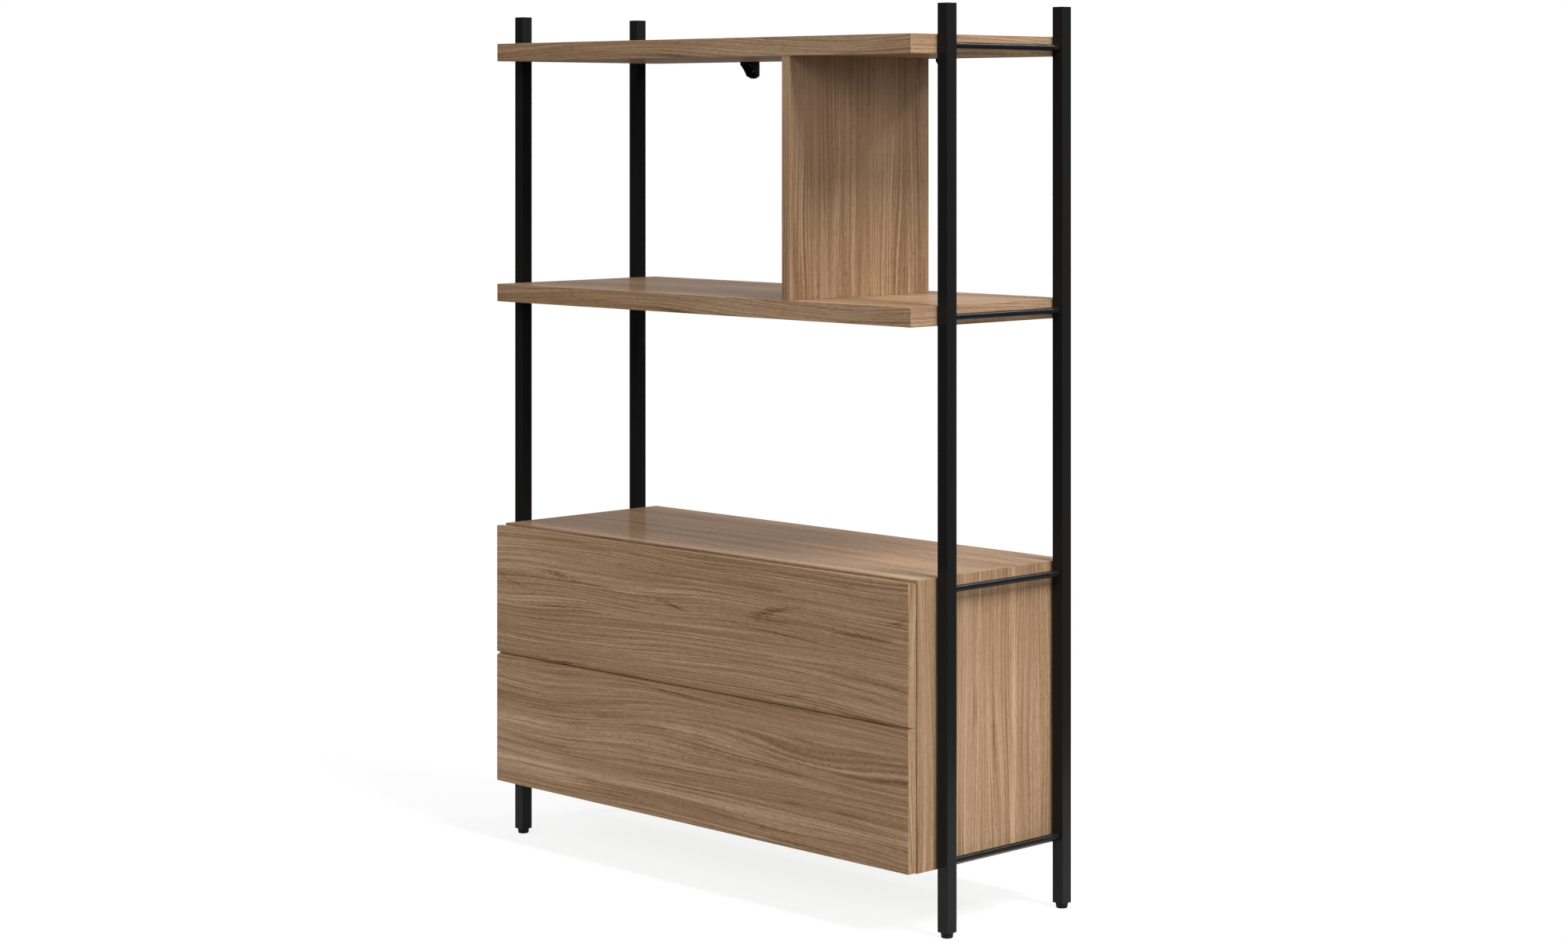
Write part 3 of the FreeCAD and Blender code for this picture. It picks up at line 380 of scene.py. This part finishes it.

# %% [markdown]
# ### The drawer fronts
#
# The two drawer fronts were cut from one sheet, so their grain runs on across the joint. That is why they
# share one material. Where the fronts meet, their edges slope back. The slopes and the gap between them are
# painted lighter, the upper part much more, as painted light inside the joint, so the joint is a soft brown
# line. A painted dark shade line runs on the face just above the joint. The top edge is a little darker.

# %% Veneer of the drawer fronts
ALONG_DRAWERS = ("X", "Z", "Z")
FRONTS_PLANE = -226.5  # mm from the unit's middle to the fronts' face
FRONT_STREAKS = (
    # middle along the drawer and in height, half length, half width, slope, and how much lighter
    (-406, 582, 90, 12, -0.1, -0.46), (-270, 568, 110, 3, -0.06, -0.3), (-46, 554, 70, 6, -0.16, -0.42),
    (300, 530, 330, 3, -0.06, -0.3), (234, 574, 75, 11, 0.2, -0.46), (454, 554, 80, 5, 0.0, -0.24),
    (569, 588, 26, 6, 0.15, -0.4), (-540, 550, 65, 3, -0.2, -0.26), (-286, 514, 270, 2.5, 0.0, -0.32),
    (-446, 402, 55, 5, 0.0, -0.2), (-80, 383, 230, 3.5, -0.065, -0.28), (294, 418, 90, 3, 0.1, -0.2),
    (94, 272, 210, 3, 0.0, -0.26), (-436, 367, 190, 7, -0.06, 0.12), (420, 376, 200, 16, 0.0, 0.08),
    (-236, 160, 190, 10, 0.0, -0.12), (-456, 484, 5, 3, 0.0, -0.3), (-482, 463, 5, 2, 0.0, -0.3),
)
fronts_veneer = oak_veneer(
    "oak_veneer_drawer_fronts", *ALONG_DRAWERS, (310.0, 40.0), 0.08, FRONTS_PLANE,
    fans=((245, 390, -560, 240, 0.02),),
    # the last band is a painted dark shade line on the face just above the joint
    bands=((182, 8, 0.12), (222, 38, -0.03), (401.6, 2.4, -0.16)),
    streaks=FRONT_STREAKS,
    # the first two lighten the joint's slopes and gap as painted light; the last makes the top edge a
    # little darker
    edge_tone_and_painted_light=((393.5, 2.3, 0.08), (398.3, 2.3, 0.8), (664.4, 1.0, -0.1)))
veneer_of = {"lower_front": fronts_veneer, "upper_front": fronts_veneer}
print("made", fronts_veneer.name, "with", len(FRONT_STREAKS), "streaks")

# %% [markdown]
# ### The lying boards
#
# The grain runs along them. Both shelves show the same figure, so they are cut from the same stretch of
# grain: the higher shelf's cut is moved back by the distance between the two, because height counts in
# the sheet's measure. The cabinet's top has one pale band near its front edge: painted light, where light
# from the front reaches in under the middle shelf.

# %% Veneer of the lying boards
ALONG_SHELVES = ("X", "Y", "Y")
LEVEL_PITCH = 506.3  # mm from one level of the unit to the next
CABINET_PLANE = 667.4  # mm, the height of the cabinet's top
veneer_of["top_shelf"] = oak_veneer(
    "oak_veneer_top_shelf", *ALONG_SHELVES, (5200.0, 7700.0 - LEVEL_PITCH), 0.04)
veneer_of["middle_shelf"] = oak_veneer(
    "oak_veneer_middle_shelf", *ALONG_SHELVES, (5200.0, 7700.0), 0.04)
veneer_of["cabinet_top"] = oak_veneer(
    "oak_veneer_cabinet_top", *ALONG_SHELVES, (8800.0, 1200.0), 0.03, CABINET_PLANE,
    # painted light: a pale band near the front edge, where light from the front reaches under the middle
    # shelf
    bands=((-181, 14, 0.1),))
veneer_of["cabinet_bottom"] = oak_veneer(
    "oak_veneer_cabinet_bottom", *ALONG_SHELVES, (11500.0, 3100.0))
print("veneer so far for:", ", ".join(veneer_of))

# %% [markdown]
# ### The upright boards
#
# The cabinet's sides and the divider have upright grain with a few lighter and darker bands, whose middles
# are given front to back. The right side is also softly lighter in the middle of its height, written as a
# very wide streak. On the divider two very wide streaks are painted light and shade: its top, which the
# top shelf shades, is painted lighter, and its bottom darker.

# %% Veneer of the upright boards
UPRIGHT = ("Z", "Y", "Y")
SIDE_PLANE = 596.6  # mm from the unit's middle to the cabinet's right face
DIVIDER_PLANE = 279.3  # mm from there to the divider's right face
veneer_of["cabinet_right_side"] = oak_veneer(
    "oak_veneer_right_side", *UPRIGHT, (900.0, 2600.0), 0.03, SIDE_PLANE,
    bands=((66, 9, 0.18), (46, 8, -0.1), (8, 6, -0.1), (-20, 3, -0.08), (-48, 34, 0.05), (110, 42, -0.04)),
    streaks=((400.0, -20, 220, 900, 0.0, 0.08),))
veneer_of["cabinet_left_side"] = oak_veneer("oak_veneer_left_side", *UPRIGHT, (3900.0, 2600.0))
veneer_of["divider"] = oak_veneer(
    "oak_veneer_divider", *UPRIGHT, (6100.0, 9100.0), 0.065, DIVIDER_PLANE,
    bands=((-208, 16, -0.06), (-143, 5, -0.07), (-60, 20, 0.04), (-33, 4, -0.08), (-20, 3, -0.06),
           (-3, 4, -0.08), (103, 9, -0.09), (126, 6, -0.06), (156, 14, 0.08)),
    # painted light and shade: the divider's top, in the top shelf's shade, is painted lighter, and its
    # bottom darker
    streaks=((1643.0, -20, 340, 900, 0.0, 0.16), (1174.0, -20, 360, 900, 0.0, -0.08)))
print("made", veneer_of["divider"].name)

# %% [markdown]
# ### Put the veneer on the boards
#
# A piece came with a plain material of its slot. It is taken off before the finish goes on, and the mesh
# isn't touched.

# %% Dress the boards


def dress(piece, finish):
    """Gives a piece one finish in place of what it had."""
    nodes[piece].data.materials.clear()
    nodes[piece].data.materials.append(finish)


for piece, veneer in veneer_of.items():
    dress(piece, veneer)
print("veneered:", len(veneer_of), "boards")

# %% [markdown]
# ## Powder-coated steel
#
# The posts and crossbars are mild steel, welded and then sprayed with dry black powder that melts into a
# skin in the oven. The skin is satin with a faint orange-peel ripple: the round bars carry a thin bright
# line, and the flat faces stay a quiet near black. Real ripple is about 0.8 mm from crest to crest. It is
# drawn at 1.6 mm to show at this distance. The skin is a plastic, with an IOR of 1.5. Satin is usually
# about 0.3 rough, but the bars' narrow line asks for a little less, and the near-black faces for a low
# specular level.

# %% Powder coat material
RIPPLE, COAT_CLOUDS = 1.6, 60.0  # mm
COLOUR_A, COLOUR_B, COLOUR_OUT = 6, 7, 2  # a Mix node's sockets for colours
powder_coat, tree = finish_material("powder_coated_steel_black", "#1F1F1F")
spot = add(tree, "ShaderNodeTexCoord").outputs["Object"]
ripple = add(tree, "ShaderNodeTexNoise", feeds={"Vector": spot, "Scale": MM / RIPPLE, "Detail": 1.0})
cloud = add(tree, "ShaderNodeTexNoise", feeds={"Vector": spot, "Scale": MM / COAT_CLOUDS, "Detail": 2.0})
pigment = add(tree, "ShaderNodeMix", {"data_type": "RGBA"},
              {0: ripple, COLOUR_A: linear("#191919"), COLOUR_B: linear("#202020")})
gloss = add(tree, "ShaderNodeMapRange", feeds={"Value": cloud, "To Min": 0.2, "To Max": 0.24})
skin = add(tree, "ShaderNodeBump", feeds={"Strength": 0.02, "Distance": 0.2 / MM, "Height": ripple})
surface = add(tree, "ShaderNodeBsdfPrincipled", feeds={
    "Base Color": pigment.outputs[COLOUR_OUT], "Roughness": gloss, "IOR": 1.5,
    "Specular IOR Level": 0.1, "Normal": skin})
add(tree, "ShaderNodeOutputMaterial", feeds={"Surface": surface})
print("made", powder_coat.name)

# %% [markdown]
# ## Moulded black plastic
#
# Post caps, feet, wall brackets and latch housings are moulded ABS and nylon. Their moulds are spark
# eroded, which leaves a fine even pitting, so they look duller than the steel beside them. The pitting is
# really about 0.3 mm and is drawn at 0.9 mm. ABS has an IOR of 1.53, and a pitted skin is 0.5 to 0.6 rough.

# %% Moulded plastic material
PITTING = 0.9  # mm
moulded_plastic, tree = finish_material("moulded_abs_black", "#1B1B1B")
spot = add(tree, "ShaderNodeTexCoord").outputs["Object"]
pitting = add(tree, "ShaderNodeTexNoise",
              feeds={"Vector": spot, "Scale": MM / PITTING, "Detail": 2.0, "Roughness": 0.6})
tint = add(tree, "ShaderNodeMix", {"data_type": "RGBA"},
           {0: pitting, COLOUR_A: linear("#171717"), COLOUR_B: linear("#1F1F1F")})
dull = add(tree, "ShaderNodeMapRange", feeds={"Value": pitting, "To Min": 0.5, "To Max": 0.6})
pits = add(tree, "ShaderNodeBump", feeds={"Strength": 0.2, "Distance": 0.2 / MM, "Height": pitting})
surface = add(tree, "ShaderNodeBsdfPrincipled", feeds={
    "Base Color": tint.outputs[COLOUR_OUT], "Roughness": dull, "IOR": 1.53,
    "Specular IOR Level": 0.1, "Normal": pits})
add(tree, "ShaderNodeOutputMaterial", feeds={"Surface": surface})
print("made", moulded_plastic.name)

# %% [markdown]
# ## Zinc-plated steel
#
# Drawer runners are rolled from steel strip that was zinc plated and passivated, and screws, bolts and
# cams have the same bright skin. Rolling draws fine lines along the strip, and the plating clouds softly
# from bluish to greyish. The lines run front to back, as the runners do. Real ones are too fine to see
# from here and are drawn 0.7 mm wide. Zinc is a metal, so its IOR stays as it is and its colour does the
# work. Bright plating is about 0.3 rough, a little less or more from line to line.

# %% Zinc material
ROLLING_LINES = (0.7, 60.0, 0.7)  # mm along X, Y and Z, so they are long from front to back
ZINC_CLOUDS = 22.0  # mm
zinc_steel, tree = finish_material("zinc_plated_steel", "#C2C6CA")
spot = add(tree, "ShaderNodeTexCoord").outputs["Object"]
drawn = add(tree, "ShaderNodeVectorMath", {"operation": "MULTIPLY"},
            {0: spot, 1: [MM / size for size in ROLLING_LINES]})
lines = add(tree, "ShaderNodeTexNoise", feeds={"Vector": drawn, "Scale": 1.0, "Detail": 2.0})
cloud = add(tree, "ShaderNodeTexNoise", feeds={"Vector": spot, "Scale": MM / ZINC_CLOUDS, "Detail": 3.0})
plating = add(tree, "ShaderNodeMix", {"data_type": "RGBA"},
              {0: cloud, COLOUR_A: linear("#B4B9C0"), COLOUR_B: linear("#CFD0CE")})
sheen = add(tree, "ShaderNodeMapRange", feeds={"Value": lines, "To Min": 0.24, "To Max": 0.42})
rolled = add(tree, "ShaderNodeBump", feeds={"Strength": 0.15, "Distance": 0.1 / MM, "Height": lines})
surface = add(tree, "ShaderNodeBsdfPrincipled", feeds={
    "Base Color": plating.outputs[COLOUR_OUT], "Metallic": 1.0, "Roughness": sheen, "Normal": rolled})
add(tree, "ShaderNodeOutputMaterial", feeds={"Surface": surface})
print("made", zinc_steel.name)

# %% [markdown]
# ## Foil-faced board
#
# The drawer boxes and the cabinet's back aren't veneered. They are chipboard and fibreboard, faced with
# printed foil in a light oak tone. A print has the wood's lines but no real pores, and its matt skin, with
# an IOR of 1.5, is about 0.5 rough and so a little smoother than wood. The print is made of broad lines
# and of fine dots inside them.

# %% Foil material
PRINT_LINES = (240.0, 90.0, 3.2)  # mm along X, Y and Z
PRINT_DOTS = (18.0, 18.0, 0.9)
DOTS_SHARE = 0.35  # how much of the dots is added to the lines
drawer_foil, tree = finish_material("printed_foil_light_oak", "#B39A7E")
spot = add(tree, "ShaderNodeTexCoord").outputs["Object"]
stretched = add(tree, "ShaderNodeVectorMath", {"operation": "MULTIPLY"},
                {0: spot, 1: [MM / size for size in PRINT_LINES]})
print_lines = add(tree, "ShaderNodeTexNoise",
                  feeds={"Vector": stretched, "Scale": 1.0, "Detail": 3.0, "Roughness": 0.6})
fine = add(tree, "ShaderNodeVectorMath", {"operation": "MULTIPLY"},
           {0: spot, 1: [MM / size for size in PRINT_DOTS]})
dots = add(tree, "ShaderNodeTexNoise", feeds={"Vector": fine, "Scale": 1.0, "Detail": 2.0})
mixed = add(tree, "ShaderNodeMath", {"operation": "MULTIPLY_ADD"}, {0: dots, 1: DOTS_SHARE, 2: print_lines})
ink = add(tree, "ShaderNodeMapRange", feeds={"Value": mixed, "From Min": 0.4, "From Max": 0.95})
foil_colour = add(tree, "ShaderNodeMix", {"data_type": "RGBA"},
                  {0: ink, COLOUR_A: linear("#A2886C"), COLOUR_B: linear("#C2AA8F")})
emboss = add(tree, "ShaderNodeBump", feeds={"Strength": 0.1, "Distance": 0.1 / MM, "Height": dots})
surface = add(tree, "ShaderNodeBsdfPrincipled", feeds={
    "Base Color": foil_colour.outputs[COLOUR_OUT], "Roughness": 0.5, "IOR": 1.5,
    "Specular IOR Level": 0.3, "Normal": emboss})
add(tree, "ShaderNodeOutputMaterial", feeds={"Surface": surface})
print("made", drawer_foil.name)

# %% [markdown]
# ## Beech
#
# The dowels are plain turned beech: pale and matt, about 0.6 rough, with short darker flecks along the
# rod. The real flecks are about a millimetre wide and several long, and are drawn so.

# %% Beech material
BEECH_FLECKS = (1.2, 1.2, 7.0)  # mm along X, Y and Z, since the dowels stand upright
beech, tree = finish_material("turned_beech", "#C9A67C")
spot = add(tree, "ShaderNodeTexCoord").outputs["Object"]
stretched = add(tree, "ShaderNodeVectorMath", {"operation": "MULTIPLY"},
                {0: spot, 1: [MM / size for size in BEECH_FLECKS]})
flecks = add(tree, "ShaderNodeTexNoise", feeds={"Vector": stretched, "Scale": 1.0, "Detail": 3.0})
beech_colour = add(tree, "ShaderNodeMix", {"data_type": "RGBA"},
                   {0: flecks, COLOUR_A: linear("#B58F66"), COLOUR_B: linear("#DABC95")})
surface = add(tree, "ShaderNodeBsdfPrincipled", feeds={
    "Base Color": beech_colour.outputs[COLOUR_OUT], "Roughness": 0.6, "IOR": 1.5,
    "Specular IOR Level": 0.3})
add(tree, "ShaderNodeOutputMaterial", feeds={"Surface": surface})
print("made", beech.name)

# %% [markdown]
# ## Give each piece its finish
#
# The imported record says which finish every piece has, as a slot name. The boards already have their own
# sheets of veneer. All other pieces of one slot share one material.

# %% Hand out the shared materials
FINISH_OF_SLOT = {
    "black_powder_coat": powder_coat,
    "black_plastic": moulded_plastic,
    "zinc_steel": zinc_steel,
    "drawer_board": drawer_foil,
    "beech_dowel": beech,
}
for subpart in frame["record"]["subparts"]:
    if subpart["material_slot"] in FINISH_OF_SLOT:
        dress(subpart["node"], FINISH_OF_SLOT[subpart["material_slot"]])
bare = [name for name, piece in nodes.items() if not piece.data.materials[0].use_nodes]
print("pieces without a finish:", bare)

# %% [markdown]
# ## The studio floor
#
# The photograph was taken, or rendered, in front of pure white. The floor here is a small disc, and its
# rim is hidden because it fades into the backdrop.

# %% Floor disc
FLOOR_RADIUS = 1.9
RIM_POINTS = 96
floor_mesh = bpy.data.meshes.new("studio_floor")
turns = [Matrix.Rotation(math.tau * number / RIM_POINTS, 3, "Z") for number in range(RIM_POINTS)]
floor_mesh.from_pydata([turn @ Vector((FLOOR_RADIUS, 0, 0)) for turn in turns], [], [range(RIM_POINTS)])
floor = bpy.data.objects.new("studio_floor", floor_mesh)
bpy.context.scene.collection.objects.link(floor)
print("floor disc", FLOOR_RADIUS * 2, "m wide")

# %% [markdown]
# The floor sends back about two fifths of the light, so it brightens the undersides only a little. For the
# camera it is darker but also glows, just enough to be white where nothing shades it, and the object's
# own shadow still shows. Mirrors see it as the camera does.

# %% Floor paint
FADE_FROM, FADE_TO = 1.0, 1.8  # m from the middle
GLOW = 0.84
pale_floor, tree = finish_material("pale_studio_floor", "#F4F4F4")
spot = add(tree, "ShaderNodeTexCoord").outputs["Object"]
out_from_middle = add(tree, "ShaderNodeVectorMath", {"operation": "LENGTH"}, {0: spot})
fade = add(tree, "ShaderNodeMapRange", SMOOTH,
           {"Value": out_from_middle.outputs["Value"], "From Min": FADE_FROM, "From Max": FADE_TO})
ray = add(tree, "ShaderNodeLightPath").outputs
seen = add(tree, "ShaderNodeMath", {"operation": "MAXIMUM"},
           {0: ray["Is Camera Ray"], 1: ray["Is Glossy Ray"]})
seen = add(tree, "ShaderNodeMath", {"operation": "MAXIMUM"}, {0: seen, 1: ray["Is Transmission Ray"]})
paint = add(tree, "ShaderNodeBsdfDiffuse", feeds={"Color": linear("#A8A8A8")})
shadow_paint = add(tree, "ShaderNodeBsdfDiffuse", feeds={"Color": linear("#808080")})
glow = add(tree, "ShaderNodeEmission", feeds={"Color": linear("#FFFFFF"), "Strength": GLOW})
lit = add(tree, "ShaderNodeAddShader", feeds={0: shadow_paint, 1: glow})
white = add(tree, "ShaderNodeEmission", feeds={"Color": linear("#FFFFFF"), "Strength": 1.0})
faded = add(tree, "ShaderNodeMixShader", feeds={0: fade, 1: lit, 2: white})
chosen = add(tree, "ShaderNodeMixShader", feeds={0: seen, 1: paint, 2: faded})
add(tree, "ShaderNodeOutputMaterial", feeds={"Surface": chosen})
floor.data.materials.append(pale_floor)
print("painted the floor with", pale_floor.name)

# %% [markdown]
# ## The backdrop
#
# The backdrop is the world: white for the camera, a soft grey dome as light, and in reflections a white
# wall behind the unit and a dark room in front of it. Dome and wall are dimmer below the floor's level.
# The wall lies in a fixed direction, so the shine on the boards stays where it is when the camera moves.

# %% Backdrop
BEHIND = (-0.7147, 0.6994, 0.0)  # the direction in which the wall stands
WALL_FROM, WALL_FULL = 0.35, 0.65  # how squarely a reflection has to point there
ROOM_STRENGTH, DOME_STRENGTH = 0.06, 0.36
FOOT_FROM, FOOT_TO = -0.02, 0.03  # from just below to just above level, where the dimming ends
FOOT_SHARE = 0.45  # of the light, below that
NUMBER_A, NUMBER_B, NUMBER_OUT = 2, 3, 0  # a Mix node's sockets for numbers
world = bpy.data.worlds.new("white_studio")
bpy.context.scene.world = world
world.use_nodes = True
tree = world.node_tree
tree.nodes.clear()
way = add(tree, "ShaderNodeTexCoord").outputs["Generated"]
behind = add(tree, "ShaderNodeVectorMath", {"operation": "DOT_PRODUCT"}, {0: way, 1: BEHIND})
wall = add(tree, "ShaderNodeMapRange", SMOOTH,
           {"Value": behind.outputs["Value"], "From Min": WALL_FROM, "From Max": WALL_FULL,
            "To Min": ROOM_STRENGTH, "To Max": 1.0})
height = add(tree, "ShaderNodeSeparateXYZ", feeds={0: way}).outputs["Z"]
foot = add(tree, "ShaderNodeMapRange",
           feeds={"Value": height, "From Min": FOOT_FROM, "From Max": FOOT_TO, "To Min": FOOT_SHARE})
wall = add(tree, "ShaderNodeMath", {"operation": "MULTIPLY"}, {0: wall, 1: foot})
light = add(tree, "ShaderNodeMath", {"operation": "MULTIPLY"}, {0: foot, 1: DOME_STRENGTH})
ray = add(tree, "ShaderNodeLightPath").outputs
mirror = add(tree, "ShaderNodeMath", {"operation": "MAXIMUM"},
             {0: ray["Is Glossy Ray"], 1: ray["Is Transmission Ray"]})
strength = add(tree, "ShaderNodeMix", {"data_type": "FLOAT"}, {0: mirror, NUMBER_A: light, NUMBER_B: wall})
strength = add(tree, "ShaderNodeMix", {"data_type": "FLOAT"},
               {0: ray["Is Camera Ray"], NUMBER_A: strength.outputs[NUMBER_OUT], NUMBER_B: 1.0})
dome = add(tree, "ShaderNodeBackground",
           feeds={"Color": linear("#FFFFFF"), "Strength": strength.outputs[NUMBER_OUT]})
add(tree, "ShaderNodeOutputWorld", feeds={"Surface": dome})
print("backdrop", world.name)

# %% [markdown]
# ## Five soft boxes
#
# The shadows in the photograph tell where its main light stands: the top shelf shades the cabinet's top
# left of the middle, and the front post's shadow runs level along the middle shelf. So it comes from the
# right, about 49 degrees up. The boards' right ends are as bright low down as high up, so a second light
# stands low on the right. A third lights the drawer fronts, and a weak one fills in from the left. The
# fifth stands behind and is small: it draws the thin bright line along each round bar. All are 12 m
# away, so that their light is even over the whole unit.

# %% Lights
HEART = Vector((0.0, 0.0, 0.9))
LIGHT_DISTANCE = 12.0
LIGHTS = (
    # name, direction from the unit, width and height in m, watts
    ("soft_box_right", (0.656, -0.023, 0.755), 3.6, 5.0, 1330.0),
    ("soft_box_low_right", (0.95, 0.10, 0.30), 5.0, 5.0, 305.0),
    ("soft_box_front", (0.30, -0.84, 0.46), 5.0, 4.0, 432.0),
    ("soft_box_left", (-0.70, -0.60, 0.40), 5.0, 5.0, 110.0),
    ("soft_box_back", (0.34, 0.70, 0.63), 1.2, 1.2, 280.0),
)
for name, toward, width, height, watts in LIGHTS:
    lamp = bpy.data.lights.new(name, "AREA")
    lamp.shape, lamp.size, lamp.size_y, lamp.energy = "RECTANGLE", width, height, watts
    lamp_object = bpy.data.objects.new(name, lamp)
    lamp_object.location = HEART + Vector(toward).normalized() * LIGHT_DISTANCE
    lamp_object.rotation_euler = (-Vector(toward)).to_track_quat("-Z", "Y").to_euler()
    bpy.context.scene.collection.objects.link(lamp_object)
    print(name, "at", [round(share, 2) for share in lamp_object.location])

# %% [markdown]
# ## The camera
#
# All upright edges are parallel in the photograph, so its camera was held level and its view shifted
# down. The place and the lens come from the vanishing points of the shelves' edges.

# %% Camera
QUARTER_TURN = 1.5707963  # radians, so the camera looks level
TO_THE_LEFT = 0.7962191  # radians, from straight ahead towards the unit's left
camera = bpy.data.cameras.new("photo_camera")
camera.lens = 73.79
camera.sensor_width = 36.0
camera.shift_y = -0.2250
camera_object = bpy.data.objects.new("photo_camera", camera)
camera_object.location = (4.6732, -4.5366, 1.5242)
camera_object.rotation_euler = (QUARTER_TURN, 0.0, TO_THE_LEFT)
bpy.context.scene.collection.objects.link(camera_object)
bpy.context.scene.camera = camera_object
bpy.context.scene.view_settings.view_transform = "Standard"
print("camera", camera.lens, "mm")
